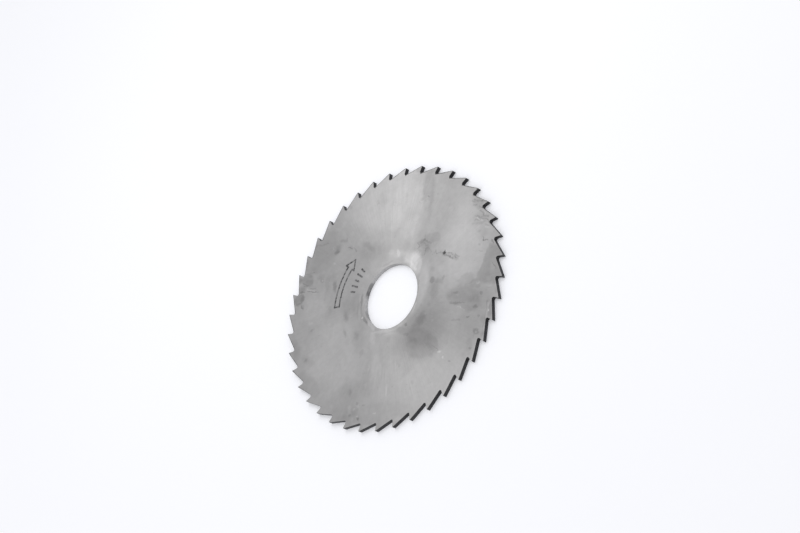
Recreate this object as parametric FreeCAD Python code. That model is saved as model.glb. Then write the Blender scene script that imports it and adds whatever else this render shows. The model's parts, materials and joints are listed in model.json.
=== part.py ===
import FreeCAD, Part
import math
import os

# A metal slitting saw: one ground disc of high-speed steel with teeth cut into
# its edge, a plain bore for the arbor, and sides ground hollow between the hub
# and the rim, so that only the toothed rim touches the walls of the cut.
# The origin is on the bore's axis, halfway through the blade, with +Z out of
# its upper side. Seen from +Z the teeth cut clockwise.
# Lengths are in millimetres and angles in degrees.

outside_diameter = 110.0
thickness = 2.0
bore_diameter = 27.0
bore_chamfer = 0.1       # only enough to take the burr off

hub_diameter = 40.0      # flat land that the arbor's collars grip
hollow_depth = 0.1       # of each side, midway between the hub and the rim
rim_width = 2.0          # full-thickness ring between the hollow and the gullets

tooth_count = 40
tooth_depth = 3.1
gullet_radius = 0.7
rake_angle = 10.0
relief_angle = 6.0       # fall of the narrow land behind each cutting edge
relief_land = 0.3        # width of that land

origin = FreeCAD.Vector(0, 0, 0)
axis = FreeCAD.Vector(0, 0, 1)
outside_radius = outside_diameter / 2
gullet_bottom_radius = outside_radius - tooth_depth
blank_radius = outside_radius + tooth_depth    # clear of the teeth that are cut from it


def polar(length, angle):
    """A vector in the plane of the blade, with its angle in radians."""
    return FreeCAD.Vector(length * math.cos(angle), length * math.sin(angle), 0)


def side_edges(side):
    """Half-section of one ground side, from the bore outwards; side is 1 or -1."""
    bore_radius = bore_diameter / 2
    face = thickness / 2
    hollow_start = hub_diameter / 2
    hollow_end = gullet_bottom_radius - rim_width

    def at(radius, height):
        return FreeCAD.Vector(radius, 0, side * height)

    # A curve whose middle pole lies twice as deep as the hollow.
    hollow = Part.BezierCurve()
    hollow.setPoles([
        at(hollow_start, face),
        at((hollow_start + hollow_end) / 2, face - 2 * hollow_depth),
        at(hollow_end, face),
    ])
    return [
        Part.makeLine(at(bore_radius, face - bore_chamfer), at(bore_radius + bore_chamfer, face)),
        Part.makeLine(at(bore_radius + bore_chamfer, face), at(hollow_start, face)),
        hollow.toShape(),
        Part.makeLine(at(hollow_end, face), at(blank_radius, face)),
    ]


def ground_disc():
    """The disc before its teeth are cut: bore, hub land, hollow sides and rim."""
    upper = side_edges(1)
    lower = side_edges(-1)
    bore_wall = Part.makeLine(lower[0].Vertexes[0].Point, upper[0].Vertexes[0].Point)
    rim_wall = Part.makeLine(upper[-1].Vertexes[-1].Point, lower[-1].Vertexes[-1].Point)
    section = Part.Wire([bore_wall] + upper + [rim_wall] + lower[::-1])
    return Part.Face(section).revolve(origin, axis, 360)


def tooth_edges():
    """The tooth that stands on +Y, with the gullet in front of its rake face."""
    rake = math.radians(rake_angle)
    tip = FreeCAD.Vector(0, outside_radius, 0)
    land_end = tip - polar(relief_land, math.radians(relief_angle))
    pitch = 2 * math.pi / tooth_count
    next_land_end = polar(land_end.Length, math.atan2(land_end.y, land_end.x) - pitch)

    # The gullet's round bottom touches the rake face and the gullet circle.
    in_front = polar(1, -rake)
    up_the_face = polar(1, math.pi / 2 - rake)
    ahead = gullet_radius - outside_radius * math.sin(rake)
    out = math.sqrt((gullet_bottom_radius + gullet_radius) ** 2 - ahead ** 2)
    centre = in_front * ahead + up_the_face * out

    # The straight back of the next tooth runs on as a tangent to that round.
    reach = next_land_end - centre
    back_touch = math.atan2(reach.y, reach.x) - math.acos(gullet_radius / reach.Length)
    face_touch = -math.pi - rake
    gullet = [centre + polar(gullet_radius, angle)
              for angle in (back_touch, (back_touch + face_touch) / 2, face_touch)]
    return [
        Part.makeLine(next_land_end, gullet[0]),
        Part.Arc(*gullet).toShape(),
        Part.makeLine(gullet[2], tip),
        Part.makeLine(tip, land_end),
    ]


def toothed_outline():
    """The edge of the blade, tooth after tooth, as one closed wire."""
    one_tooth = tooth_edges()
    edges = []
    for tooth in range(tooth_count):
        turn = 360 * tooth / tooth_count
        edges += [edge.rotated(origin, axis, turn) for edge in one_tooth]
    return Part.Wire(edges)


def saw_blade():
    """The ground disc, kept only inside the toothed outline."""
    outline = toothed_outline().translated(axis * -thickness)
    inside_teeth = Part.Face(outline).extrude(axis * 2 * thickness)
    return ground_disc().common(inside_teeth)


os.makedirs("parts", exist_ok=True)
saw_blade().exportStep("parts/saw_blade.step")
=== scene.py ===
import json
import math
from collections import namedtuple

import bmesh
import bpy
from bpy.props import FloatProperty, FloatVectorProperty, IntProperty, PointerProperty
from mathutils import Matrix, Vector


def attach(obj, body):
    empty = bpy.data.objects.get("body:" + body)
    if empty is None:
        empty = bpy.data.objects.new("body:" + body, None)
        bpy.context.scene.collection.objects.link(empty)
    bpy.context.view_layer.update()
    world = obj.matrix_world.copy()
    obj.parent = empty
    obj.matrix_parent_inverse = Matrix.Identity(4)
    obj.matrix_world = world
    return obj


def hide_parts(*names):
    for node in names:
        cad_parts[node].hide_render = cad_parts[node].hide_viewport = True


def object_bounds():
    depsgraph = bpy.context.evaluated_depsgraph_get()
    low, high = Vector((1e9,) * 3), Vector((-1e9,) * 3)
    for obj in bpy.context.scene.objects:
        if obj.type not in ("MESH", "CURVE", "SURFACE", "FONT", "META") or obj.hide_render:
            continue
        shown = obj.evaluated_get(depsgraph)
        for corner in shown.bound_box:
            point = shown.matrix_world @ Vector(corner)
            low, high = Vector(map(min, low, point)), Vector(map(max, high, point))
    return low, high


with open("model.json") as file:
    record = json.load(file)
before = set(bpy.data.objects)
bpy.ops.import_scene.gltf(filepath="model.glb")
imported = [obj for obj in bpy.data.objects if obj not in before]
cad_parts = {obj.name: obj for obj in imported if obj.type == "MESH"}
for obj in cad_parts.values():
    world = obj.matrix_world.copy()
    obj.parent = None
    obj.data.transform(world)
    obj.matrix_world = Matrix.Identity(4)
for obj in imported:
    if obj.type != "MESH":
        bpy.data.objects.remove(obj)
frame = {"record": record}
cad_low, cad_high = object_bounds()
bore_mount = next(mount for mount in frame["record"]["mounts"] if mount["name"] == "bore")
bore_wall_length = bore_mount["dims"]["length_mm"] / 1000
blade_thickness = cad_high.z - cad_low.z

bl_info = {
    "name": "Slitting saw blade",
    "version": (1, 0, 0),
    "blender": (4, 5, 0),
    "location": "3D View > Sidebar > Saw blade",
    "description": "Makes a used metal slitting saw of ground steel, and a pale stage to show it on",
    "category": "Add Mesh",
}

MM = 0.001

# How finely the round shapes are divided.
RING_STEPS = 480
GULLET_STEPS = 8
EDGE_STEPS = 3
HOLLOW_STEPS = 12

# Faces that meet at less than this angle are shaded as one surface.
SHARP_ANGLE = math.radians(32)

# The blade's finishes, in the order of its material slots.
UPPER, LOWER, BLACKENED, BORED = range(4)

# The kinds of socket on the shared effects.
FLOAT, VECTOR = "NodeSocketFloat", "NodeSocketVector"

# An oval on the steel: its centre, its half length and half width in millimetres, how soft its
# edge is, from 0 to 1, and the turn of its length from +X in degrees.
Oval = namedtuple("Oval", "x y length width softness turn", defaults=(0,))

# A stain, a clean place, a painted highlight or a painted shade: an oval and its tone, below 1 where it
# darkens the steel and above 1 where the steel is brighter. Where a second oval is given, the oval
# leaves it out.
StainAndPaintedLight = namedtuple("StainAndPaintedLight", "x y length width softness tone turn left_out", defaults=(0, None))

# A straight scratch or pen-thin stroke, from one point to another, in millimetres.
Stroke = namedtuple("Stroke", "x1 y1 x2 y2 width tone")

# Stains and clean places on the upper side, with painted highlights and painted shade among them.
UPPER_STAINS_AND_PAINTED_LIGHT = (
    # The bright fan above the hub, a painted highlight of the grinding grain, which ends sharply on its
    # right at a dark column, and what lies beside them.
    StainAndPaintedLight(-6, 46, 33, 19.5, 0.35, 1.13, left_out=Oval(30.5, 42, 17, 27, 0.15)),
    StainAndPaintedLight(13.6, 44.5, 4, 13.5, 0.5, 0.83, 3),
    StainAndPaintedLight(9.6, 49.6, 7, 5, 0.7, 0.9),
    StainAndPaintedLight(8, 52.8, 4.2, 1.9, 0.7, 0.84, -8),
    StainAndPaintedLight(14.6, 51.2, 1.6, 1.6, 0.7, 0.9),
    StainAndPaintedLight(11, 39.2, 1.6, 1.8, 0.8, 0.91),
    StainAndPaintedLight(13.8, 37, 1.9, 2.4, 0.8, 1.11),
    StainAndPaintedLight(18.8, 40.3, 0.9, 0.9, 0.7, 0.92),
    StainAndPaintedLight(16, 44.4, 0.9, 4.4, 0.8, 1.05, -4),
    StainAndPaintedLight(24, 46, 13, 6, 0.8, 0.92, -15),
    StainAndPaintedLight(-2, 38, 4, 13, 0.8, 1.04),
    StainAndPaintedLight(-10.5, 42, 3, 6, 0.8, 0.95),
    StainAndPaintedLight(-10.4, 43, 5, 2, 0.35, 0.965, 98),
    StainAndPaintedLight(-0.4, 44.9, 3.2, 5.6, 0.35, 1.025, 98),
    StainAndPaintedLight(0.6, 45.6, 2.6, 0.8, 0.5, 1.035, 98),
    StainAndPaintedLight(2.1, 42.8, 1.7, 0.6, 0.5, 0.94, 98),
    StainAndPaintedLight(-1.2, 34.4, 5.8, 2.5, 0.35, 1.035, 98),
    StainAndPaintedLight(4.8, 34.2, 3.6, 2.9, 0.3, 0.97, 98),
    StainAndPaintedLight(7.3, 27, 4.4, 1.5, 0.5, 1.035, 97),
    StainAndPaintedLight(0.4, 28.4, 1.5, 0.6, 0.6, 0.94, 10),
    StainAndPaintedLight(-13, 42.6, 1.4, 1, 0.5, 0.94, 98),
    StainAndPaintedLight(-13, 42.5, 0.5, 0.4, 0.6, 1.12),
    StainAndPaintedLight(-30.6, 35.8, 2.2, 1.7, 0.8, 1.08, -30),
    StainAndPaintedLight(-28, 42.8, 1.8, 1.7, 0.8, 0.91),
    StainAndPaintedLight(-33.4, 32.8, 0.9, 0.8, 0.7, 0.92),
    StainAndPaintedLight(15.5, 33, 1.6, 6, 0.7, 0.93, 8),
    StainAndPaintedLight(6, 27.5, 8, 7, 0.75, 1.12),
    StainAndPaintedLight(8.6, 22, 3, 5, 0.8, 1.07),
    StainAndPaintedLight(8.4, 31.4, 2.6, 3, 0.8, 1.07),
    StainAndPaintedLight(-2.5, 29.4, 4.8, 1.9, 0.8, 1.07),
    StainAndPaintedLight(20.8, 30.4, 2, 3.2, 0.8, 1.06),
    StainAndPaintedLight(26.3, 32.3, 2, 1.5, 0.8, 1.08),
    StainAndPaintedLight(17, 26, 3.5, 8, 0.8, 1.07),
    # The painted highlight of the hub land at the edge of the bore, and the light land on the bore's
    # right.
    StainAndPaintedLight(10.9, 11.4, 4, 6.6, 0.4, 1.33, -4),
    StainAndPaintedLight(8.6, 12, 5.4, 1.6, 0.6, 1.17, -42),
    StainAndPaintedLight(11.5, 10.6, 1.2, 2.6, 0.6, 1.12, -8),
    StainAndPaintedLight(10, 14.6, 4.2, 4, 0.6, 1.14, 20),
    StainAndPaintedLight(7, 16, 3.6, 4, 0.7, 1.2, -20),
    StainAndPaintedLight(1.3, 18.2, 2.1, 1.1, 0.4, 1.15, -60),
    StainAndPaintedLight(-2.3, 19, 1.6, 1.5, 0.4, 1.08),
    StainAndPaintedLight(1, 17.6, 6.4, 2.2, 0.7, 1.09, -3),
    StainAndPaintedLight(14, 18.4, 3.6, 1.4, 0.8, 1.08),
    StainAndPaintedLight(10.6, 18.6, 1.3, 2.4, 0.7, 1.08),
    StainAndPaintedLight(15.6, 5, 4, 13, 0.7, 1.22),
    StainAndPaintedLight(13.7, 2, 0.6, 6, 0.7, 0.84),
    # A brighter area on the right.
    StainAndPaintedLight(34, 14, 18.5, 24, 0.75, 1.33),
    StainAndPaintedLight(20, 8, 5, 9, 0.8, 1.08),
    StainAndPaintedLight(25, 12, 5, 4.4, 0.8, 0.95),
    StainAndPaintedLight(24.6, 7.8, 2, 2.4, 0.8, 1.07),
    StainAndPaintedLight(39, 12, 5, 6, 0.8, 0.95),
    StainAndPaintedLight(34, 33, 10, 7, 0.8, 1.1, -30),
    StainAndPaintedLight(40, 32.3, 5.4, 2.6, 0.6, 0.87, -45),
    StainAndPaintedLight(42, 26, 5.6, 3.6, 0.7, 0.92, -15),
    StainAndPaintedLight(43.6, 19.5, 4, 4.6, 0.8, 0.92),
    StainAndPaintedLight(41.8, 32.9, 1.2, 1, 0.7, 0.91),
    StainAndPaintedLight(41.7, 20.6, 1.1, 0.8, 0.7, 0.9),
    StainAndPaintedLight(42.4, 15, 1, 0.7, 0.7, 0.84, -40),
    # The tide mark at the right edge, whose inner edge is sharp.
    StainAndPaintedLight(51, 5.4, 11, 9, 0.25, 0.84, left_out=Oval(30.5, 14, 16, 19, 0.05)),
    StainAndPaintedLight(50.2, 4.6, 2, 5, 0.8, 1.1),
    StainAndPaintedLight(49, -2.2, 3.2, 1.8, 0.8, 1.1, -5),
    StainAndPaintedLight(48.8, 0.2, 1.6, 1.4, 0.7, 1.09),
    StainAndPaintedLight(48.5, 13.6, 1.6, 2, 0.7, 0.86),
    # The dark band that runs in from it.
    StainAndPaintedLight(37.2, -4.6, 10.2, 4.8, 0.5, 0.83, -10),
    StainAndPaintedLight(46.5, -8, 6.5, 6, 0.7, 0.9, -20),
    StainAndPaintedLight(41.4, -0.5, 3, 2.1, 0.6, 0.84, 20),
    StainAndPaintedLight(38.5, -10, 3.6, 2.4, 0.7, 0.92, -20),
    StainAndPaintedLight(30.4, -4, 1.8, 3.4, 0.8, 0.94),
    StainAndPaintedLight(38.5, -15, 5, 2.6, 0.8, 0.96),
    StainAndPaintedLight(37.8, 1.3, 4.8, 3, 0.3, 0.9, 12),
    StainAndPaintedLight(44, -2, 2, 1.5, 0.7, 0.87),
    StainAndPaintedLight(36.6, -0.9, 1.7, 0.8, 0.8, 1.07),
    StainAndPaintedLight(33.4, 1.4, 1.5, 0.9, 0.7, 0.92, 20),
    StainAndPaintedLight(42.4, -9, 4.6, 4, 0.5, 0.89),
    StainAndPaintedLight(48, -16, 2.2, 2.6, 0.7, 0.92),
    StainAndPaintedLight(49.8, -9.8, 1.2, 3, 0.7, 0.92, 10),
    StainAndPaintedLight(51.3, -12.4, 1.8, 4.8, 0.6, 0.82, 4),
    StainAndPaintedLight(48.2, -21.8, 1.3, 2, 0.7, 0.89),
    StainAndPaintedLight(52.8, -5.6, 1, 2, 0.7, 0.91),
    StainAndPaintedLight(40.8, -11.8, 2, 1.1, 0.6, 0.92, 5),
    StainAndPaintedLight(26.4, -5.6, 1.8, 1.2, 0.8, 1.07),
    StainAndPaintedLight(43.3, -6.8, 1, 0.9, 0.7, 1.08),
    StainAndPaintedLight(34.2, -4.5, 0.9, 0.5, 0.6, 1.1, -20),
    StainAndPaintedLight(31.2, -7, 1.3, 0.8, 0.7, 0.88),
    StainAndPaintedLight(33.2, -3.3, 2.2, 1, 0.8, 0.84, 4),
    StainAndPaintedLight(34, -7.8, 3.6, 1, 0.7, 0.88, -8),
    StainAndPaintedLight(43.5, -10.6, 1.8, 0.9, 0.7, 0.8),
    StainAndPaintedLight(42, -20, 13, 13, 0.8, 0.9),
    StainAndPaintedLight(42.5, -26, 2.2, 5, 0.6, 0.93, 10),
    StainAndPaintedLight(44.1, -22.6, 2, 0.8, 0.7, 0.92, -63),
    # The largest stain, below and right of the hub, with its dark cores.
    StainAndPaintedLight(16.5, -17, 20, 16, 0.8, 0.73),
    StainAndPaintedLight(16.4, -18.8, 8.4, 4.4, 0.5, 0.87, -14),
    StainAndPaintedLight(13.4, -15.4, 6, 2.4, 0.7, 0.95, -8),
    StainAndPaintedLight(13.8, -14, 1.6, 1.3, 0.7, 0.91),
    StainAndPaintedLight(18.4, -10.2, 1.8, 0.8, 0.7, 1.09, 20),
    StainAndPaintedLight(21.2, -20.4, 0.8, 1.9, 0.7, 1.09),
    StainAndPaintedLight(24, -22.5, 5.4, 3, 0.4, 0.9, -48),
    StainAndPaintedLight(17, -12, 4.2, 3.3, 0.6, 0.83, 55),
    StainAndPaintedLight(13.8, -21.4, 3.4, 3, 0.6, 0.9),
    StainAndPaintedLight(25.5, -26.6, 3, 1, 0.6, 0.93, 10),
    StainAndPaintedLight(24, -27.5, 2, 1.1, 0.7, 0.92),
    StainAndPaintedLight(23, -13, 0.8, 1, 0.7, 1.08),
    StainAndPaintedLight(31, -23, 2.2, 1.8, 0.8, 0.94),
    StainAndPaintedLight(40.2, -30, 2.2, 2.6, 0.8, 0.93, -30),
    StainAndPaintedLight(19.2, -24.8, 8, 3.6, 0.35, 0.92),
    StainAndPaintedLight(13.6, -6.6, 2.4, 7, 0.7, 1.1, -36),
    StainAndPaintedLight(1.2, -18.5, 2.2, 1.9, 0.8, 0.93),
    StainAndPaintedLight(10.3, -17.2, 2.2, 0.9, 0.5, 0.88),
    StainAndPaintedLight(7.5, -15.3, 3.5, 2.2, 0.6, 0.9, -15),
    # Right of the bore.
    StainAndPaintedLight(16.6, -5.6, 1.2, 1, 0.8, 1.07),
    StainAndPaintedLight(26, 4, 1.1, 1.5, 0.6, 0.84, -15),
    StainAndPaintedLight(20.3, 8.6, 1.8, 1.3, 0.6, 0.94),
    StainAndPaintedLight(20.6, 16.7, 2.8, 1.5, 0.8, 1.07, -10),
    StainAndPaintedLight(20.4, -6, 1, 1.3, 0.7, 0.92),
    StainAndPaintedLight(24.2, 2.9, 3, 1.5, 0.7, 0.86, -25),
    StainAndPaintedLight(20.6, 3.9, 1.7, 2, 0.6, 0.74, 30),
    StainAndPaintedLight(22.4, -0.5, 2.8, 6, 0.6, 0.88),
    StainAndPaintedLight(18.3, 3, 1.5, 6.5, 0.7, 1.07),
    # Rubbed smudges and a nick right of the hub.
    StainAndPaintedLight(18.6, 21.8, 4.8, 2.5, 0.3, 0.91, -6),
    StainAndPaintedLight(14.8, 19.3, 4.2, 2.1, 0.5, 0.86, -30),
    StainAndPaintedLight(13, 20.9, 1.9, 1, 0.6, 0.88, 20),
    StainAndPaintedLight(16.2, 16.9, 1.9, 1.7, 0.6, 0.88),
    StainAndPaintedLight(27.5, 13, 6.6, 1.5, 0.6, 0.92, -22),
    StainAndPaintedLight(31.4, 11.4, 2.2, 1.4, 0.6, 0.88, -10),
    StainAndPaintedLight(25.2, 14.3, 0.9, 0.8, 0.5, 0.35),
    StainAndPaintedLight(25.3, 15, 0.4, 1.1, 0.5, 0.6),
    # The upper left.
    StainAndPaintedLight(-39, 25, 11.5, 9, 0.6, 0.87, 40),
    StainAndPaintedLight(-32, 25.2, 2.4, 4.2, 0.8, 0.86, -16),
    StainAndPaintedLight(-25, 24.2, 1.8, 1.4, 0.8, 0.92),
    StainAndPaintedLight(-32.6, 23.6, 2.3, 1.7, 0.8, 0.82, 30),
    StainAndPaintedLight(-32, 23.4, 1.1, 0.8, 0.6, 0.88),
    StainAndPaintedLight(-29.6, 28.2, 2.8, 1, 0.6, 0.87, -16),
    StainAndPaintedLight(-27.6, 28.8, 0.7, 1.2, 0.6, 0.88),
    StainAndPaintedLight(-36, 32.6, 3.2, 2.4, 0.8, 0.93, -20),
    StainAndPaintedLight(-35.2, 25.8, 0.5, 0.8, 0.6, 1.12, 20),
    StainAndPaintedLight(-25, 30.4, 2.8, 1.7, 0.8, 1.07),
    StainAndPaintedLight(-11, 20.5, 13, 5.5, 0.7, 0.9, -14),
    StainAndPaintedLight(-16.5, 24.5, 4.5, 1.6, 0.7, 0.9, -28),
    StainAndPaintedLight(-13, 22, 3.5, 1.2, 0.7, 0.92, -35),
    StainAndPaintedLight(-7, 15.5, 4.5, 3, 0.6, 0.94, 25),
    StainAndPaintedLight(-14, 11, 2.6, 1.5, 0.8, 1.07),
    StainAndPaintedLight(-47, 13.6, 4, 3.1, 0.3, 0.86, -14),
    StainAndPaintedLight(-45.8, 12.1, 3.2, 2.2, 0.5, 0.91, -30),
    StainAndPaintedLight(-45, 17.4, 6.4, 2.8, 0.8, 0.88, -10),
    StainAndPaintedLight(-45, 17, 0.6, 0.5, 0.6, 1.16),
    StainAndPaintedLight(-50.4, 5.8, 3.3, 3, 0.3, 0.81, 10),
    StainAndPaintedLight(-48.5, 5.8, 1.3, 2.6, 0.7, 0.86, 10),
    StainAndPaintedLight(-49.4, 10, 2.6, 2.2, 0.8, 0.79),
    StainAndPaintedLight(-50, 8, 1.6, 0.8, 0.7, 0.92),
    StainAndPaintedLight(-51.6, 14, 2, 2.4, 0.7, 0.77),
    StainAndPaintedLight(-48.6, 20.8, 1.8, 3.6, 0.7, 0.87),
    StainAndPaintedLight(-44.8, 28.6, 1.8, 2.6, 0.7, 0.91),
    StainAndPaintedLight(-38.8, 36.4, 2, 1.5, 0.7, 1.12, -45),
    StainAndPaintedLight(-52.4, 5, 1.2, 2.2, 0.7, 0.94),
    StainAndPaintedLight(-45.7, 15, 1.4, 0.9, 0.7, 0.92),
    StainAndPaintedLight(-40, 13.8, 1, 1.2, 0.7, 0.93),
    StainAndPaintedLight(-48.2, 2.6, 1.6, 1.1, 0.6, 0.87, -40),
    StainAndPaintedLight(-39.6, 14.2, 2.6, 1.7, 0.5, 0.93),
    StainAndPaintedLight(-35.6, 10.8, 1.7, 5.6, 0.6, 0.93),
    StainAndPaintedLight(-36.9, 7.8, 1.4, 1.5, 0.7, 1.06),
    StainAndPaintedLight(-35.8, 4.4, 1.3, 1.4, 0.7, 0.92),
    StainAndPaintedLight(-31.3, 8.8, 1.6, 4, 0.7, 0.76, 10),
    StainAndPaintedLight(-33.5, 13, 3, 2.5, 0.8, 0.93),
    StainAndPaintedLight(-38.9, 12.1, 1.6, 1.1, 0.5, 0.86, -25),
    StainAndPaintedLight(-38.8, 12.2, 0.7, 0.5, 0.6, 1.22, -20),
    StainAndPaintedLight(-32.2, -1.2, 1.5, 2.8, 0.6, 0.93),
    # The left and the lower left.
    StainAndPaintedLight(-41, 0.5, 10, 9.5, 0.7, 1.1),
    StainAndPaintedLight(-42.4, -5.6, 2.3, 1.4, 0.8, 1.07, -15),
    StainAndPaintedLight(-12, -22.2, 1.2, 2.4, 0.7, 0.9, -20),
    StainAndPaintedLight(-25, -22, 24, 24, 0.6, 1.17),
    StainAndPaintedLight(-31, -33, 6, 4.4, 0.8, 0.94, -35),
    StainAndPaintedLight(-18.5, -31.8, 3, 1.8, 0.8, 0.93),
    StainAndPaintedLight(-41, -21.6, 6.8, 2.4, 0.8, 0.92, -32),
    StainAndPaintedLight(-14.5, -14.5, 5, 11, 0.8, 0.89, 4),
    StainAndPaintedLight(-4, -29, 3.6, 14, 0.8, 1.15, 3),
    StainAndPaintedLight(-7.3, -29, 1, 2.6, 0.8, 1.09),
    StainAndPaintedLight(-0.9, -30.6, 1, 5.4, 0.8, 1.08, 3),
    StainAndPaintedLight(-4.4, -34.4, 1.6, 4, 0.8, 0.96),
    StainAndPaintedLight(-18, -1, 3.6, 8, 0.6, 0.91),
    StainAndPaintedLight(-16.8, -4, 1, 5, 0.8, 0.9, 6),
    StainAndPaintedLight(-15.1, 0.2, 0.7, 4.6, 0.6, 0.8, 2),
    StainAndPaintedLight(-16.2, 1, 0.6, 2.6, 0.6, 1.12),
    StainAndPaintedLight(-14.2, 0.4, 0.4, 4.4, 0.7, 1.1, 4),
    StainAndPaintedLight(-18.7, -3, 1, 1.1, 0.7, 0.93),
    StainAndPaintedLight(-14.5, -4.6, 0.7, 2.6, 0.6, 0.88, 12),
    StainAndPaintedLight(-14, -7, 1.4, 1.6, 0.7, 0.91, 30),
    StainAndPaintedLight(-11.2, -9.8, 1.5, 0.8, 0.6, 0.88, -50),
    StainAndPaintedLight(-22.9, -5.3, 2, 4, 0.9, 0.78, 22),
    StainAndPaintedLight(-22.5, -1, 5.5, 4.5, 0.8, 0.92),
    StainAndPaintedLight(-22.4, -12.5, 0.9, 2.8, 0.8, 0.85, 25),
    StainAndPaintedLight(-16, -14.3, 1.9, 3.6, 0.8, 0.88, 20),
    StainAndPaintedLight(-12, -8.3, 0.9, 2.4, 0.5, 0.74, 34),
    StainAndPaintedLight(-40.7, -9, 2.2, 0.9, 0.9, 0.84, 20),
    StainAndPaintedLight(-42, -21.5, 1.3, 1.1, 0.9, 0.82),
    StainAndPaintedLight(-49, -16, 7, 3.4, 0.7, 0.87, -65),
    StainAndPaintedLight(-38.5, -32.3, 10, 4.4, 0.45, 0.91, -42),
    # The bottom, where a wide stain ends in a sharp arc.
    StainAndPaintedLight(-24.8, -43.2, 1.8, 2.2, 0.8, 1.07, -30),
    StainAndPaintedLight(8.3, -29.3, 1.3, 1.8, 0.8, 0.92),
    StainAndPaintedLight(12.5, -32, 3.5, 4, 0.8, 0.94),
    StainAndPaintedLight(16.4, -37.2, 1.2, 1, 0.7, 0.92),
    StainAndPaintedLight(3.5, -39.2, 1, 3, 0.7, 1.13, 4),
    StainAndPaintedLight(-15, -42, 13, 10, 0.25, 0.955),
    StainAndPaintedLight(-17.6, -36.6, 4.6, 4.6, 0.7, 0.92, -25),
    StainAndPaintedLight(-15.4, -38.4, 1.5, 2.2, 0.9, 0.84),
    StainAndPaintedLight(2, -54, 24, 11, 0.15, 0.96),
    StainAndPaintedLight(2, -38, 4, 9, 0.8, 1.06),
    StainAndPaintedLight(-8.4, -43.5, 7, 8, 0.8, 1.09),
    StainAndPaintedLight(-17.5, -48.5, 6, 2.4, 0.7, 0.95),
    StainAndPaintedLight(-7.4, -36, 1.5, 2, 0.8, 1.08),
    StainAndPaintedLight(5.4, -46.4, 1.6, 1.8, 0.8, 1.06),
    StainAndPaintedLight(-16.7, -47.2, 1.5, 2, 0.5, 0.92),
    StainAndPaintedLight(-14.3, -47.6, 1.1, 1, 0.7, 0.84),
    StainAndPaintedLight(-12, -46, 2.6, 2.8, 0.6, 0.89, -20),
    StainAndPaintedLight(-12.1, -45.4, 0.9, 0.9, 0.6, 1.18),
    StainAndPaintedLight(-11, -42.6, 0.8, 1, 0.6, 0.85),
    StainAndPaintedLight(-15, -44.2, 1.3, 1.4, 0.6, 1.07, -40),
    StainAndPaintedLight(-10, -44, 0.9, 1.4, 0.7, 1.08),
    StainAndPaintedLight(-9.3, -49, 1, 0.9, 0.6, 0.7),
    StainAndPaintedLight(-13, -49.2, 1.3, 1.5, 0.7, 1.08),
    StainAndPaintedLight(-11.4, -51, 2.2, 1.1, 0.7, 1.07),
    StainAndPaintedLight(-5.2, -52.8, 3.2, 1.4, 0.7, 1.11),
    StainAndPaintedLight(11, -51.6, 3.4, 1.5, 0.7, 1.08, 8),
    StainAndPaintedLight(-10, -48.2, 0.6, 0.5, 0.6, 1.16),
    StainAndPaintedLight(-7.4, -44, 1.2, 0.7, 0.6, 0.84),
    StainAndPaintedLight(-1.4, -48.2, 0.7, 0.4, 0.6, 1.2, 10),
    # Brighter lines along the bore's lower edge and below the hub, and a painted shade along the bore's
    # top edge.
    StainAndPaintedLight(-3.6, 14.4, 3.6, 0.7, 0.6, 0.88, 14),
    StainAndPaintedLight(-1.5, -14.4, 8.5, 1, 0.6, 1.14),
    StainAndPaintedLight(-8.6, -11.2, 4, 1, 0.5, 1.14, -43),
    StainAndPaintedLight(1.5, -15.9, 4.4, 0.6, 0.6, 1.07, 3),
    StainAndPaintedLight(12.9, -6.6, 0.6, 3, 0.5, 1.14, -26),
    StainAndPaintedLight(7.9, -12.3, 4, 1, 0.5, 1.12, 32),
    StainAndPaintedLight(-7, -17, 1.8, 6.5, 0.7, 1.1, 8),
    # Small spots and specks.
    StainAndPaintedLight(45, -20.6, 1.9, 1.7, 0.5, 0.78),
    StainAndPaintedLight(45.1, -20.8, 0.8, 0.7, 0.5, 1.2),
    StainAndPaintedLight(43.2, -27.3, 1, 0.8, 0.6, 0.82),
    StainAndPaintedLight(33.5, -30.7, 0.8, 0.6, 0.6, 0.82),
    StainAndPaintedLight(9.7, -13, 0.9, 0.8, 0.6, 0.78),
    StainAndPaintedLight(40.5, -14.3, 0.9, 0.7, 0.6, 0.78),
    StainAndPaintedLight(45.8, -14.1, 1, 0.7, 0.6, 0.84, -20),
    StainAndPaintedLight(45.8, -5.3, 1, 0.9, 0.6, 0.8),
    StainAndPaintedLight(28, -26.2, 1.3, 0.5, 0.6, 1.28, 10),
    StainAndPaintedLight(30.2, -29, 0.5, 0.7, 0.6, 1.25),
    StainAndPaintedLight(50.2, -13, 0.6, 0.6, 0.6, 1.35),
    StainAndPaintedLight(50, -10.5, 0.6, 1.6, 0.6, 1.15),
    StainAndPaintedLight(-33, 19, 0.8, 0.6, 0.6, 1.15),
    StainAndPaintedLight(-13.7, -7.1, 0.6, 0.5, 0.6, 1.4),
)

# Where the grinding lines catch the light; there their sheen is painted into the steel's tone.
UPPER_SHEEN = (
    Oval(-8, 38, 28, 20, 0.6),
    Oval(10, -33, 23, 16, 0.6, -10),
)

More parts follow.
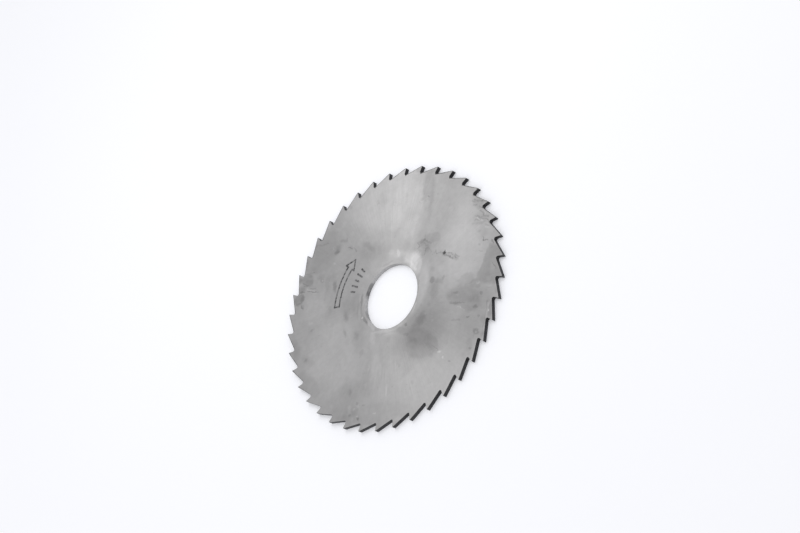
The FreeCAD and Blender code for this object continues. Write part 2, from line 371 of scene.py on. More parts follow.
UPPER_STROKES = (
    # Scratches at the left edge.
    Stroke(-49.4, 12.4, -46.4, 11.6, 0.45, 0.84),
    Stroke(-48.8, 11.4, -46.6, 10.9, 0.45, 0.84),
    Stroke(-50.4, 9.4, -47.8, 8.6, 0.5, 0.8),
    Stroke(-46.2, 8.9, -41.4, 8, 0.4, 0.76),
    Stroke(-41.4, 8, -39.6, 7.7, 0.4, 0.88),
    Stroke(-44.8, 9.9, -41.8, 9.3, 0.4, 0.8),
    Stroke(-46.6, 9.5, -42, 8.7, 0.35, 1.12),
    Stroke(-44, 7.7, -41, 7.4, 0.35, 1.1),
    Stroke(-48.6, 2.6, -47.2, 1.3, 0.6, 0.82),
    Stroke(-52, 3.8, -49.4, 4.2, 0.5, 0.88),
    Stroke(-48.6, 16.8, -43.6, 16.4, 0.5, 0.88),
    Stroke(-44.5, 28.8, -38, 28.3, 0.9, 0.9),
    Stroke(-23.2, 24.4, -21.2, 22.4, 0.6, 0.84),
    # Scuffs near the teeth on the right.
    Stroke(36.8, 34, 38.2, 33.6, 0.9, 0.87),
    Stroke(37.8, 34.8, 38.8, 34.4, 0.6, 0.84),
    Stroke(39.6, 33.8, 41.8, 33, 1, 0.85),
    Stroke(41.6, 33.2, 43.6, 32.8, 0.7, 0.8),
    Stroke(38, 32.3, 39, 31.8, 0.6, 0.84),
    Stroke(40.6, 31.4, 41.6, 30.4, 0.5, 0.9),
    Stroke(41, 29.2, 43, 27.7, 0.7, 0.82),
    Stroke(42.8, 27.3, 45.6, 26, 0.7, 0.83),
    Stroke(38.8, 27, 42.8, 26.5, 0.6, 0.82),
    Stroke(38.8, 25.6, 41, 25.3, 0.5, 0.84),
    Stroke(41.4, 25.9, 45.6, 24.9, 0.45, 0.8),
    Stroke(38, 24.3, 45, 23.8, 0.9, 0.93),
    Stroke(40, 26.2, 41.4, 25.7, 0.5, 1.18),
    Stroke(42, 25.3, 43, 24.9, 0.45, 1.2),
    Stroke(43.2, 28.4, 44, 27.8, 0.5, 1.1),
    Stroke(45.6, 24.8, 46.2, 23.6, 0.5, 0.78),
    Stroke(44.2, 22.4, 45.8, 21.9, 0.5, 0.92),
    Stroke(44.2, 21.6, 46, 21.1, 0.5, 1.12),
    Stroke(43.8, 18, 44.3, 16.6, 0.45, 0.7),
    Stroke(44.3, 16.6, 46.6, 16.1, 0.4, 0.7),
    Stroke(48.7, 16, 49.6, 14.3, 0.7, 0.74),
    Stroke(42.4, 12.4, 44.4, 11.6, 0.4, 0.85),
    Stroke(49.8, 6.2, 51.6, 3.6, 0.4, 0.78),
    # Scratches in and below the dark band.
    Stroke(33, -14.4, 36.6, -14.8, 0.9, 0.9),
    Stroke(31.4, -7.3, 38.2, -8.2, 0.5, 0.86),
    Stroke(34.5, -9, 36.4, -9.8, 0.4, 1.1),
    Stroke(36, -9.8, 38.6, -11.2, 0.4, 1.12),
    Stroke(42.8, 0, 43.8, -1.3, 0.5, 1.1),
    Stroke(43.8, -1.3, 44.6, -0.2, 0.45, 1.1),
    Stroke(48.8, -3.6, 50.6, -4, 0.4, 0.9),
    Stroke(24.6, -23.6, 27.4, -25.6, 0.35, 0.86),
    Stroke(49.3, -8.8, 48.3, -22, 0.35, 0.88),
    Stroke(50.4, -8.6, 49.6, -15, 0.35, 1.12),
    # Rubbed marks right of the hub.
    Stroke(13.8, 21.4, 18.2, 19.4, 0.8, 0.86),
    Stroke(14.2, 22.9, 14.2, 21.4, 0.5, 0.84),
    Stroke(11.2, 20.6, 12.4, 18.6, 0.5, 0.86),
    Stroke(11, 18.4, 12.4, 18.9, 0.5, 0.84),
    Stroke(14, 20, 16.6, 18.6, 0.5, 0.9),
    Stroke(15, 15.3, 15.4, 17.4, 0.6, 0.86),
    Stroke(17.6, 17.4, 18.8, 15.8, 0.45, 0.84),
    Stroke(20.6, 16.2, 21.2, 14.4, 0.6, 0.84),
    Stroke(21.2, 14.3, 24.2, 15, 0.5, 0.86),
    Stroke(25.6, 13.4, 28.4, 12, 0.6, 0.76),
    Stroke(28.4, 12, 30, 11.3, 0.6, 0.74),
    Stroke(27, 14.2, 29, 13.4, 0.45, 0.74),
    Stroke(29, 13.4, 29.8, 12.4, 0.4, 0.76),
    Stroke(30.8, 12.8, 31.2, 11.4, 0.45, 0.72),
    Stroke(31.2, 12.6, 33.2, 11.4, 0.4, 0.82),
    Stroke(25.9, 15.4, 26.6, 14.6, 0.6, 1.1),
    # Elsewhere.
    Stroke(-26.5, 25, -24, 23.8, 0.35, 0.76),
    Stroke(13.6, 40.2, 14.4, 39.6, 0.4, 0.8),
    Stroke(9, 38.2, 9.8, 37.6, 0.5, 0.9),
    Stroke(10, 38, 13.4, 39.5, 0.5, 1.08),
    Stroke(-13.6, 43, -11.4, 41.2, 0.4, 0.9),
    Stroke(-4.4, 41.8, -4.1, 39.8, 0.4, 0.92),
    Stroke(-3.7, 42, -3.4, 39.6, 0.5, 1.04),
    Stroke(-2.2, 27.6, -1.7, 25.2, 0.4, 0.92),
)

# Dark patches on the wall of the bore: painted shade along its upper left and top, where the wall lies
# in shade, and old dirt lower on the left.
BORE_DIRT_AND_PAINTED_SHADE = (
    StainAndPaintedLight(-12.7, 4.6, 4.8, 2, 0.8, 0.56, 70),
    StainAndPaintedLight(-13.2, 3, 1.4, 1.2, 0.8, 0.74, 80),
    StainAndPaintedLight(-12, 7, 1.2, 1.2, 0.8, 0.82, 60),
    StainAndPaintedLight(1, 13.5, 5.5, 1.5, 0.7, 0.82),
    StainAndPaintedLight(-12, -6.5, 3.5, 1.5, 0.7, 0.7, 120),
)

# The underside has a few old stains of its own.
LOWER_STAINS = (
    StainAndPaintedLight(20, 24, 22, 14, 0.9, 0.87, 40),
    StainAndPaintedLight(27, 20, 7, 4, 0.6, 0.92, 55),
    StainAndPaintedLight(-30, 16, 13, 8, 0.8, 0.91, -20),
    StainAndPaintedLight(-14, -32, 18, 10, 0.9, 1.1, 10),
    StainAndPaintedLight(35, -25, 12, 6, 0.8, 0.88, -50),
    StainAndPaintedLight(40, -19, 4, 2.4, 0.6, 0.92, -60),
    StainAndPaintedLight(6, 38, 16, 8, 0.9, 1.1, 85),
    StainAndPaintedLight(0, -15.4, 10, 1.4, 0.7, 1.1),
    StainAndPaintedLight(-45, -12, 4, 10, 0.8, 0.91, 12),
    StainAndPaintedLight(-9, 20, 1.2, 0.9, 0.6, 0.8),
    StainAndPaintedLight(30, 4, 0.9, 0.8, 0.6, 0.82),
)

# The painted sheen of the grinding lines on the underside.
LOWER_SHEEN = (
    Oval(6, 34, 30, 20, 0.7),
    Oval(-8, -34, 28, 18, 0.7),
)

LOWER_STROKES = (
    Stroke(-8, 30, 2, 33, 0.35, 0.86),
    Stroke(24, -38, 31, -35, 0.3, 1.15),
    Stroke(-27, -9, -22, -14, 0.35, 0.88),
    Stroke(12, -40, 19, -43, 0.35, 0.86),
    Stroke(34, 22, 41, 19, 0.35, 1.12),
)

# How the nodes stand in the node editor.
NODE_WIDTH, NODE_HEIGHT, NODE_ROWS = 240, 260, 5

# The etched turning arrow lies along the hub's left side, on an arc about the bore. Bearings
# are in degrees clockwise from +Y and lengths are in millimetres.
ARROW_RADIUS = 28.6
ARROW_HALF_WIDTH = 1.25
ARROW_TAIL, ARROW_NECK, ARROW_TIP = -91, -57, -49
ARROW_HEAD_HALF_WIDTH = 2.7
ETCHED_WIDTH = 0.85

# Plain graduation strokes inside the arrow.
GRADUATION_RADIUS = 21.3
GRADUATION_BEARINGS = (-77, -70.5, -64, -57.5, -51)
GRADUATION_HALF_LENGTHS = (1.0, 1.5, 1.0, 1.5, 1.0)

# The grinding grain: its streaks to a radian, and how far they reach out in millimetres.
FINE_GRAIN = {"Lines": 300.0, "Reach": 9.0}
BROAD_GRAIN = {"Lines": 60.0, "Reach": 18.0}

# The unevenness of the finishes: the scale, detail and roughness of each noise.
CLOUDS = (0.07, 4.0, 0.55)
GRIME = (0.5, 4.0, 0.6)
SPECKS = (1.7, 1.0, 0.5)
RAGGED_EDGES = (0.3, 6.0, 0.68)
ETCHED_EDGES = (1.6, 2.0, 0.5)
ETCHED_WEAR = (0.8, 4.0, 0.65)
SCALE_MOTTLE = (0.9, 4.0, 0.6)
BORE_MOTTLE = (0.8, 3.0, 0.6)

# How far such an unevenness moves what lies on the steel, in millimetres.
SPOT_DRIFT = 3.2
HUB_DRIFT = 6.0
ETCHED_DRIFT = 0.5
EDGE_LINE_DRIFT = 0.5

# How a value is eased: the two values that it runs between, and what each becomes. In these it
# becomes a tone of the steel.
GRAIN_TONES = (0.25, 0.75, 0.985, 1.015)
CLOUD_TONES = (0.25, 0.75, 0.975, 1.025)
GRIME_TONES = (0.3, 0.7, 0.97, 1.03)
SPECK_TONES = (0.74, 0.8, 1.0, 0.8)
HUB_TONES = (20.0, 25.0, 1.05, 1.0)
BORE_TONES = (0.2, 0.8, 0.85, 1.1)

# Eased to how far the tone is raised or lowered, by the painted sheen of the grinding lines and by the
# line on the tooth backs. That line is scale, darkest on the side of the blade that SCALE_SIDE points
# to, and on the other side it turns into a painted highlight.
FINE_SHEEN = (0.3, 0.7, -0.026, 0.026)
BROAD_SHEEN = (0.3, 0.7, -0.012, 0.012)
SCALE_AND_HIGHLIGHT_SHARES = (-0.45, 0.3, 0.08, -0.68)
SCALE_SIDE = (-0.59, 0.81, 0)

# Eased to a share: of a stroke, of the line of scale and painted highlight on the tooth backs, of the
# etched ink that is left, and of the black that is lost.
STROKE_EDGE = (0.6, 1.2, 1.0, 0.0)
EDGE_LINE_DEPTHS = (0.34, 0.64, 1.0, 0.0)
ETCHED_LEFT = (0.38, 0.62, 1.0, 0.42)
SCALE_LOST = (0.45, 0.75, 0.0, 0.35)

# Eased to a roughness.
SCALE_ROUGHNESS = (0.2, 0.8, 0.42, 0.6)
BORE_ROUGHNESS = (0.2, 0.8, 0.35, 0.5)

# How much smoother the steel is at full tone, how much of the relief is fine grain, and how deep
# the relief is.
SMOOTHING = 0.15
FINE_RELIEF = 0.25
RELIEF_DEPTH = 0.022 * MM

# The soft lamp, placed by its bearing clockwise from +Y, its height angle and its distance.
LAMP_BEARING = math.radians(-16)
LAMP_HEIGHT = math.radians(61)
LAMP_DISTANCE = 0.33
LAMP_WIDTH, LAMP_LENGTH = 0.19, 0.18

# The surround's colour, and the floor's half length and its glow, which shows only to the camera
# and in reflections.
SURROUND_COLOUR = (0.975, 0.98, 1, 1)
FLOOR_REACH = 3.0
GLOW_COLOUR = (0.96, 0.965, 1, 1)
GLOW_STRENGTH = 0.2


class SawSizes(bpy.types.PropertyGroup):
    """The blade's own sizes, which match the solid part."""

    outside_diameter: FloatProperty(
        name="Outside diameter", description="Across the tips of the teeth",
        default=cad_high.x - cad_low.x, unit="LENGTH")
    thickness: FloatProperty(
        name="Thickness", description="Through the hub and the toothed rim",
        default=blade_thickness, unit="LENGTH")
    bore_diameter: FloatProperty(
        name="Bore diameter", description="The hole for the arbor",
        default=2 * bore_mount["dims"]["r_mm"] * MM, unit="LENGTH")
    bore_chamfer: FloatProperty(
        name="Bore chamfer", description="Width and depth of the chamfers at the bore's ends",
        default=(blade_thickness - bore_wall_length) / 2, unit="LENGTH")
    hub_diameter: FloatProperty(
        name="Hub diameter", description="The flat land that the arbor's collars grip",
        default=40 * MM, unit="LENGTH")
    hollow_depth: FloatProperty(
        name="Hollow depth", description="Of each side, midway between the hub and the rim",
        default=0.1 * MM, unit="LENGTH", precision=4)
    rim_width: FloatProperty(
        name="Rim width", description="Full-thickness ring inside the gullets",
        default=2 * MM, unit="LENGTH")
    tooth_count: IntProperty(
        name="Teeth", description="Number of teeth round the blade", default=40, min=8)
    tooth_depth: FloatProperty(
        name="Tooth depth", description="From the tips to the bottom of the gullets",
        default=3.1 * MM, unit="LENGTH")
    gullet_radius: FloatProperty(
        name="Gullet radius", description="Round bottom between two teeth",
        default=0.7 * MM, unit="LENGTH")
    rake_angle: FloatProperty(
        name="Rake angle", description="Lean of the cutting face behind its edge",
        default=math.radians(10), subtype="ANGLE")
    relief_angle: FloatProperty(
        name="Relief angle", description="Fall of the narrow land behind the edge",
        default=math.radians(6), subtype="ANGLE")
    relief_land: FloatProperty(
        name="Relief land", description="Width of that land",
        default=0.3 * MM, unit="LENGTH", precision=4)
    edge_break: FloatProperty(
        name="Edge break", description="Rounding that use and handling leave on the teeth",
        default=0.05 * MM, unit="LENGTH", precision=4)


class SawFinish(bpy.types.PropertyGroup):
    """Colours and gloss of the steel."""

    steel: FloatVectorProperty(
        name="Ground steel", description="The bright sides", subtype="COLOR",
        size=4, default=(0.381, 0.376, 0.373, 1), min=0, max=1)
    black: FloatVectorProperty(
        name="Blackened steel", description="Heat-treatment scale left on the teeth",
        subtype="COLOR", size=4, default=(0.022, 0.022, 0.024, 1), min=0, max=1)
    worn_black: FloatVectorProperty(
        name="Worn black", description="Where the scale has rubbed thin at the edges",
        subtype="COLOR", size=4, default=(0.16, 0.16, 0.165, 1), min=0, max=1)
    bore: FloatVectorProperty(
        name="Bore", description="The bore's wall and chamfers", subtype="COLOR",
        size=4, default=(0.465, 0.46, 0.455, 1), min=0, max=1)
    mark: FloatVectorProperty(
        name="Etched marks", description="The dark strokes on the upper side", subtype="COLOR",
        size=4, default=(0.06, 0.06, 0.061, 1), min=0, max=1)
    # This also sets how strongly the painted highlights and painted shade in the stain lists show.
    spot_strength: FloatProperty(
        name="Staining", description="How strongly the old stains and clean places show",
        subtype="FACTOR", default=1, min=0, max=1)
    steel_roughness: FloatProperty(
        name="Steel roughness", description="Of the ground sides", subtype="FACTOR",
        default=0.42, min=0, max=1)
    grain_pull: FloatProperty(
        name="Grain pull", description="How far the grinding grain stretches a reflection",
        subtype="FACTOR", default=0.85, min=0, max=1)


class SawStage(bpy.types.PropertyGroup):
    """The floor, the lamp and the camera."""

    floor: FloatVectorProperty(
        name="Floor", description="Colour of the pale floor", subtype="COLOR",
        size=4, default=(0.9, 0.903, 0.925, 1), min=0, max=1)
    fill: FloatProperty(
        name="Fill light", description="Strength of the light from all round",
        default=0.8, min=0)
    lamp_power: FloatProperty(
        name="Lamp", description="Power of the soft lamp", default=0.16, unit="POWER", min=0)
    lens: FloatProperty(
        name="Lens", description="Focal length in millimetres", default=87.48, min=1)
    azimuth: FloatProperty(
        name="View azimuth", description="Turn of the camera round the blade from -Y",
        default=math.radians(61.29), subtype="ANGLE")
    elevation: FloatProperty(
        name="View elevation", description="Height of the camera above the blade's plane",
        default=math.radians(43.68), subtype="ANGLE")
    roll: FloatProperty(
        name="View roll", description="Turn of the camera about its line of sight",
        default=math.radians(-62.54), subtype="ANGLE")
    distance: FloatProperty(
        name="View distance", description="From the camera to the point that it looks at",
        default=765.08 * MM, unit="LENGTH")
    aim: FloatVectorProperty(
        name="Aim", description="Point on the upper side in the middle of the picture",
        size=2, default=(3.06 * MM, 12.02 * MM), unit="LENGTH", precision=4)


class SlittingSaw(bpy.types.PropertyGroup):
    """Everything that a user can change."""

    sizes: PointerProperty(type=SawSizes)
    finish: PointerProperty(type=SawFinish)
    stage: PointerProperty(type=SawStage)


def polar(length, angle):
    """A vector in the blade's plane, its angle counter-clockwise from +X."""
    return Vector((length * math.cos(angle), length * math.sin(angle)))


def tooth_outline(sizes):
    """The tooth on +Y and the gullet in front of it, from the next tooth's back to the tip."""
    rake = sizes.rake_angle
    outside_radius = sizes.outside_diameter / 2
    gullet_bottom_radius = outside_radius - sizes.tooth_depth
    tip = Vector((0, outside_radius))
    land_end = tip - polar(sizes.relief_land, sizes.relief_angle)
    next_land_end = land_end @ Matrix.Rotation(math.tau / sizes.tooth_count, 2)

    ahead = sizes.gullet_radius - outside_radius * math.sin(rake)
    out = math.sqrt((gullet_bottom_radius + sizes.gullet_radius) ** 2 - ahead ** 2)
    centre = polar(ahead, -rake) + polar(out, math.pi / 2 - rake)
    reach = next_land_end - centre
    back_touch = math.atan2(reach.y, reach.x) - math.acos(sizes.gullet_radius / reach.length)
    face_touch = -math.pi - rake
    gullet = []
    for step in range(GULLET_STEPS + 1):
        angle = back_touch + (face_touch - back_touch) * step / GULLET_STEPS
        gullet.append(centre + polar(sizes.gullet_radius, angle))
    return [next_land_end] + gullet + [tip]


def toothed_outline(sizes):
    """The blade's edge as points, counter-clockwise seen from above."""
    tooth = tooth_outline(sizes)
    points = []
    for index in range(sizes.tooth_count):
        turn = Matrix.Rotation(math.tau * index / sizes.tooth_count, 2)
        points += [turn @ point for point in tooth]
    return points


def inset(points, distance):
    """The outline moved inwards by a distance, corner by corner."""
    moved = []
    for index, point in enumerate(points):
        before = (point - points[index - 1]).normalized()
        after = (points[(index + 1) % len(points)] - point).normalized()
        first, second = (Vector((way.y, -way.x)) for way in (before, after))
        moved.append(point - (first + second) * distance / (1 + first.dot(second)))
    return moved


def ring(radius):
    """Points round a circle about the bore's axis."""
    return [polar(radius, math.tau * step / RING_STEPS) for step in range(RING_STEPS)]


def side_profile(sizes):
    """Radius and depth below the face, from the bore's chamfer to the toothed rim."""
    hub_radius = sizes.hub_diameter / 2
    rim_radius = sizes.outside_diameter / 2 - sizes.tooth_depth - sizes.rim_width
    profile = [(sizes.bore_diameter / 2 + sizes.bore_chamfer, 0)]
    for step in range(HOLLOW_STEPS + 1):
        share = step / HOLLOW_STEPS
        radius = hub_radius + (rim_radius - hub_radius) * share
        profile.append((radius, sizes.hollow_depth * 4 * share * (1 - share)))
    return profile


def add_loop(mesh, points, height):
    """Corners of the mesh over the given points."""
    return [mesh.verts.new((point.x, point.y, height)) for point in points]


def join_loops(mesh, first, second, finish):
    """A band of four-sided faces between two loops of as many points."""
    for index in range(len(first)):
        after = (index + 1) % len(first)
        face = mesh.faces.new((first[index], first[after], second[after], second[index]))
        face.material_index = finish


def fill_between(mesh, inner, outer, finish):
    """The flat face between a circle and the toothed outline."""
    edges = []
    for loop in (inner, outer):
        for index in range(len(loop)):
            pair = (loop[index - 1], loop[index])
            edges.append(mesh.edges.get(pair) or mesh.edges.new(pair))
    filled = bmesh.ops.triangle_fill(mesh, use_beauty=True, edges=edges)
    for face in filled["geom"]:
        if isinstance(face, bmesh.types.BMFace):
            face.material_index = finish


def add_side(mesh, sizes, side):
    """One side of the blade; gives back its loops at the bore's wall and the rim's wall."""
    ground = UPPER if side > 0 else LOWER
    face_height = sizes.thickness / 2
    wall_height = side * (face_height - sizes.bore_chamfer)
    bore_loop = add_loop(mesh, ring(sizes.bore_diameter / 2), wall_height)
    inner = bore_loop
    finish = BORED
    for radius, depth in side_profile(sizes):
        loop = add_loop(mesh, ring(radius), side * (face_height - depth))
        join_loops(mesh, inner, loop, finish)
        inner = loop
        finish = ground

    outline = toothed_outline(sizes)
    rim_loop = add_loop(mesh, inset(outline, 2 * sizes.edge_break), side * face_height)
    fill_between(mesh, inner, rim_loop, ground)
    for step in range(EDGE_STEPS + 1):
        turn = math.pi / 2 * step / EDGE_STEPS
        points = inset(outline, sizes.edge_break * (1 - math.sin(turn)))
        height = side * (face_height - sizes.edge_break * (1 - math.cos(turn)))
        loop = add_loop(mesh, points, height)
        join_loops(mesh, rim_loop, loop, ground)
        rim_loop = loop
    return bore_loop, rim_loop


def blade_mesh(sizes):
    """The whole blade as one closed mesh."""
    mesh = bmesh.new()
    upper_bore, upper_rim = add_side(mesh, sizes, 1)
    lower_bore, lower_rim = add_side(mesh, sizes, -1)
    join_loops(mesh, upper_bore, lower_bore, BORED)
    join_loops(mesh, upper_rim, lower_rim, BLACKENED)
    bmesh.ops.recalc_face_normals(mesh, faces=mesh.faces)
    for face in mesh.faces:
        face.smooth = True
    for edge in mesh.edges:
        edge.smooth = edge.calc_face_angle() < SHARP_ANGLE
    made = bpy.data.meshes.new("slitting_saw")
    mesh.to_mesh(made)
    mesh.free()
    return made


class Bench:
    """Places the nodes of one node tree and wires them up."""

    def __init__(self, tree):
        self.tree = tree
        self.placed = 0

    def node(self, kind, inputs=None, **settings):
        made = self.tree.nodes.new("ShaderNode" + kind)
        column, row = divmod(self.placed, NODE_ROWS)
        made.location = (column * NODE_WIDTH, -row * NODE_HEIGHT)
        self.placed += 1
        for name, value in settings.items():
            setattr(made, name, value)
        self.fill(made, inputs or {})
        return made

    def fill(self, node, inputs):
        for socket, value in inputs.items():
            self.feed(node.inputs[socket], value)

    def feed(self, socket, value):
        if isinstance(value, bpy.types.NodeSocket):
            self.tree.links.new(value, socket)
        else:
            socket.default_value = value

    def math(self, operation, *values):
        return self.node("Math", dict(enumerate(values)), operation=operation).outputs[0]

    def times(self, first, second):
        return self.math("MULTIPLY", first, second)

    def vector(self, operation, *values):
        made = self.node("VectorMath", dict(enumerate(values)), operation=operation)
        return made.outputs["Value" if operation in ("LENGTH", "DOT_PRODUCT") else "Vector"]

    def scaled(self, vector, scale):
        inputs = {"Vector": vector, "Scale": scale}
        return self.node("VectorMath", inputs, operation="SCALE").outputs["Vector"]

    def combined(self, **parts):
        return self.node("CombineXYZ", parts).outputs["Vector"]

    def noise(self, place, scale, detail, roughness, output="Fac"):
        inputs = {"Vector": place, "Scale": scale, "Detail": detail, "Roughness": roughness}
        return self.node("TexNoise", inputs).outputs[output]

    def ramp(self, value, low, high, to_low, to_high):
        """The value eased from low..high to to_low..to_high."""
        inputs = {
            "Value": value, "From Min": low, "From Max": high, "To Min": to_low, "To Max": to_high}
        eased = self.node("MapRange", inputs, interpolation_type="SMOOTHSTEP", clamp=False)
        return eased.outputs["Result"]

    def blend(self, factor, first, second, way="MIX"):
        made = self.node("Mix", data_type="RGBA", blend_type=way)
        for socket, value in zip((0, 6, 7), (factor, first, second)):
            self.feed(made.inputs[socket], value)
        return made.outputs[2]

    def effect(self, name, **inputs):
        """One of the shared effects, with its inputs named as on its sockets."""
        made = self.node("Group", node_tree=bpy.data.node_groups[name])
        for socket, value in inputs.items():
            self.feed(made.inputs[socket.replace("_", " ")], value)
        return made.outputs


def new_effect(name, inputs, outputs):
    """An empty shader node group; gives back its bench, its input sockets and its end node."""
    tree = bpy.data.node_groups.new(name, "ShaderNodeTree")
    for socket, kind in inputs.items():
        tree.interface.new_socket(socket, in_out="INPUT", socket_type=kind)
    for socket, kind in outputs.items():
        tree.interface.new_socket(socket, in_out="OUTPUT", socket_type=kind)
    start = tree.nodes.new("NodeGroupInput")
    end = tree.nodes.new("NodeGroupOutput")
    start.location = (-300, 0)
    end.location = (1400, 0)
    return Bench(tree), start.outputs, end.inputs


def make_blade_place():
    """Where a point lies on the blade, in millimetres and about the bore's axis."""
    bench, _, ends = new_effect("Blade place", {}, {
        "Place": VECTOR, "Flat place": VECTOR, "Radius": FLOAT, "Bearing": FLOAT, "Direction": VECTOR})
    place = bench.scaled(bench.node("TexCoord").outputs["Object"], 1 / MM)
    flat = bench.vector("MULTIPLY", place, (1, 1, 0))
    split = bench.node("SeparateXYZ", {0: place}).outputs
    bench.feed(ends["Place"], place)
    bench.feed(ends["Flat place"], flat)
    bench.feed(ends["Radius"], bench.vector("LENGTH", flat))
    bench.feed(ends["Bearing"], bench.math("ARCTAN2", split["X"], split["Y"]))
    bench.feed(ends["Direction"], bench.vector("NORMALIZE", flat))


def make_grinding_grain():
    """Streaks that run out from the bore, finer with more lines, and long or short."""
    bench, start, ends = new_effect(
        "Grinding grain", {"Direction": VECTOR, "Radius": FLOAT, "Lines": FLOAT, "Reach": FLOAT},
        {"Streaks": FLOAT})
    across = bench.scaled(start["Direction"], start["Lines"])
    along = bench.combined(Z=bench.math("DIVIDE", start["Radius"], start["Reach"]))
    streaks = bench.noise(bench.vector("ADD", across, along), 1.0, detail=3.0, roughness=0.6)
    bench.feed(ends["Streaks"], streaks)


def make_oval():
    """1 inside an oval on the blade, fading towards its edge to 0."""
    bench, start, ends = new_effect("Oval", {
        "Place": VECTOR, "Centre": VECTOR, "Half length": FLOAT, "Half width": FLOAT,
        "Turn": FLOAT, "Softness": FLOAT}, {"Mask": FLOAT})
    offset = bench.vector("SUBTRACT", start["Place"], start["Centre"])
    cosine = bench.math("COSINE", start["Turn"])
    sine = bench.math("SINE", start["Turn"])
    lengthwise = bench.combined(X=cosine, Y=sine)
    crosswise = bench.combined(X=bench.times(sine, -1.0), Y=cosine)
    along = bench.math("DIVIDE", bench.vector("DOT_PRODUCT", offset, lengthwise), start["Half length"])
    across = bench.math("DIVIDE", bench.vector("DOT_PRODUCT", offset, crosswise), start["Half width"])
    squares = bench.math("MULTIPLY_ADD", along, along, bench.times(across, across))
    solid = bench.math("SUBTRACT", 1.0, start["Softness"])
    bench.feed(ends["Mask"], bench.ramp(bench.math("SQRT", squares), solid, 1.0, 1.0, 0.0))


def stroke_mask(bench, width, distance):
    """1 on the middle of a stroke, and 0 just past half of its width."""
    return bench.ramp(bench.math("DIVIDE", distance, bench.times(width, 0.5)), *STROKE_EDGE)


def make_stroke():
    """A straight scratched or etched stroke between two points."""
    bench, start, ends = new_effect(
        "Stroke", {"Place": VECTOR, "From": VECTOR, "To": VECTOR, "Width": FLOAT}, {"Mask": FLOAT})
    offset = bench.vector("SUBTRACT", start["Place"], start["From"])
    line = bench.vector("SUBTRACT", start["To"], start["From"])
    share = bench.math("DIVIDE", bench.vector("DOT_PRODUCT", offset, line),
                       bench.vector("DOT_PRODUCT", line, line))
    share = bench.math("MINIMUM", bench.math("MAXIMUM", share, 0.0), 1.0)
    distance = bench.vector("LENGTH", bench.vector("SUBTRACT", offset, bench.scaled(line, share)))
    bench.feed(ends["Mask"], stroke_mask(bench, start["Width"], distance))


def make_arc():
    """An etched stroke along a circle about the bore."""
    bench, start, ends = new_effect("Arc", {
        "Place": VECTOR, "Radius": FLOAT, "Middle": FLOAT, "Half angle": FLOAT, "Width": FLOAT},
        {"Mask": FLOAT})
    split = bench.node("SeparateXYZ", {0: start["Place"]}).outputs
    bearing = bench.math("ARCTAN2", split["X"], split["Y"])
    radius = bench.vector("LENGTH", start["Place"])
    across = bench.math("SUBTRACT", radius, start["Radius"])
    turn = bench.math("ABSOLUTE", bench.math("SUBTRACT", bearing, start["Middle"]))
    past = bench.math("MAXIMUM", bench.math("SUBTRACT", turn, start["Half angle"]), 0.0)
    distance = bench.vector("LENGTH", bench.combined(X=across, Y=bench.times(past, radius)))
    bench.feed(ends["Mask"], stroke_mask(bench, start["Width"], distance))


def make_tooth_back(sizes):
    """How far a point lies inside the sloping back of its tooth, in millimetres."""
    bench, start, ends = new_effect("Tooth back", {"Place": VECTOR, "Bearing": FLOAT}, {"Depth": FLOAT})
    pitch = math.tau / sizes.tooth_count
    outline = tooth_outline(sizes)
    high = outline[0] @ Matrix.Rotation(-pitch, 2)
    low = outline[1] @ Matrix.Rotation(-pitch, 2)
    back = (low - high).normalized()
    inward = Vector((-back.y, back.x, 0))
    teeth = bench.math("CEIL", bench.math("DIVIDE", start["Bearing"], pitch))
    turn = {"Vector": start["Place"], "Angle": bench.times(teeth, pitch)}
    turned = bench.node("VectorRotate", turn, rotation_type="Z_AXIS")
    depth = bench.vector("DOT_PRODUCT", turned.outputs["Vector"], tuple(inward))
    bench.feed(ends["Depth"], bench.math("SUBTRACT", depth, inward.xy.dot(high) / MM))


def new_material(name):
    """A material with a bare Principled shader; gives back it, its bench and that shader."""
    material = bpy.data.materials.new(name)
    material.use_nodes = True
    shader = material.node_tree.nodes["Principled BSDF"]
    return material, Bench(material.node_tree), shader


def clock_point(bearing, radius):
    """A point in millimetres at a bearing in degrees clockwise from +Y."""
    angle = math.radians(bearing)
    return (radius * math.sin(angle), radius * math.cos(angle), 0)


def oval_mask(bench, place, oval):
    """1 inside one of the listed ovals."""
    return bench.effect(
        "Oval", Place=place, Centre=(oval.x, oval.y, 0), Half_length=oval.length,
        Half_width=oval.width, Turn=math.radians(oval.turn), Softness=oval.softness)["Mask"]


def toned(bench, tone, mask, change):
    """The tone, raised by a share where the mask lies, or lowered if the share is negative."""
    return bench.times(tone, bench.math("MULTIPLY_ADD", mask, change, 1.0))


def with_spots(bench, tone, place, spots, spot_strength):
    """The tone with every listed stain, painted highlight and painted shade laid over it."""
    for spot in spots:
        mask = oval_mask(bench, place, spot)
        if spot.left_out:
            outside = bench.math("SUBTRACT", 1.0, oval_mask(bench, place, spot.left_out))
            mask = bench.times(mask, outside)
        tone = toned(bench, tone, mask, (spot.tone - 1) * spot_strength)
    return tone


def scratched(bench, tone, place, strokes):
    """The tone with every stroke laid over it."""
    for stroke in strokes:
        mask = bench.effect("Stroke", Place=place, From=(stroke.x1, stroke.y1, 0),
                            To=(stroke.x2, stroke.y2, 0), Width=stroke.width)["Mask"]
        tone = toned(bench, tone, mask, stroke.tone - 1)
    return tone


def astray(bench, flat_place, noise, drift):
    """The place moved about by a noise, so that what is drawn there has ragged edges."""
    uneven = bench.noise(flat_place, *noise, output="Color")
    uneven = bench.vector("SUBTRACT", uneven, (0.5, 0.5, 0.5))
    return bench.vector("ADD", flat_place, bench.vector("MULTIPLY", uneven, (drift, drift, 0)))


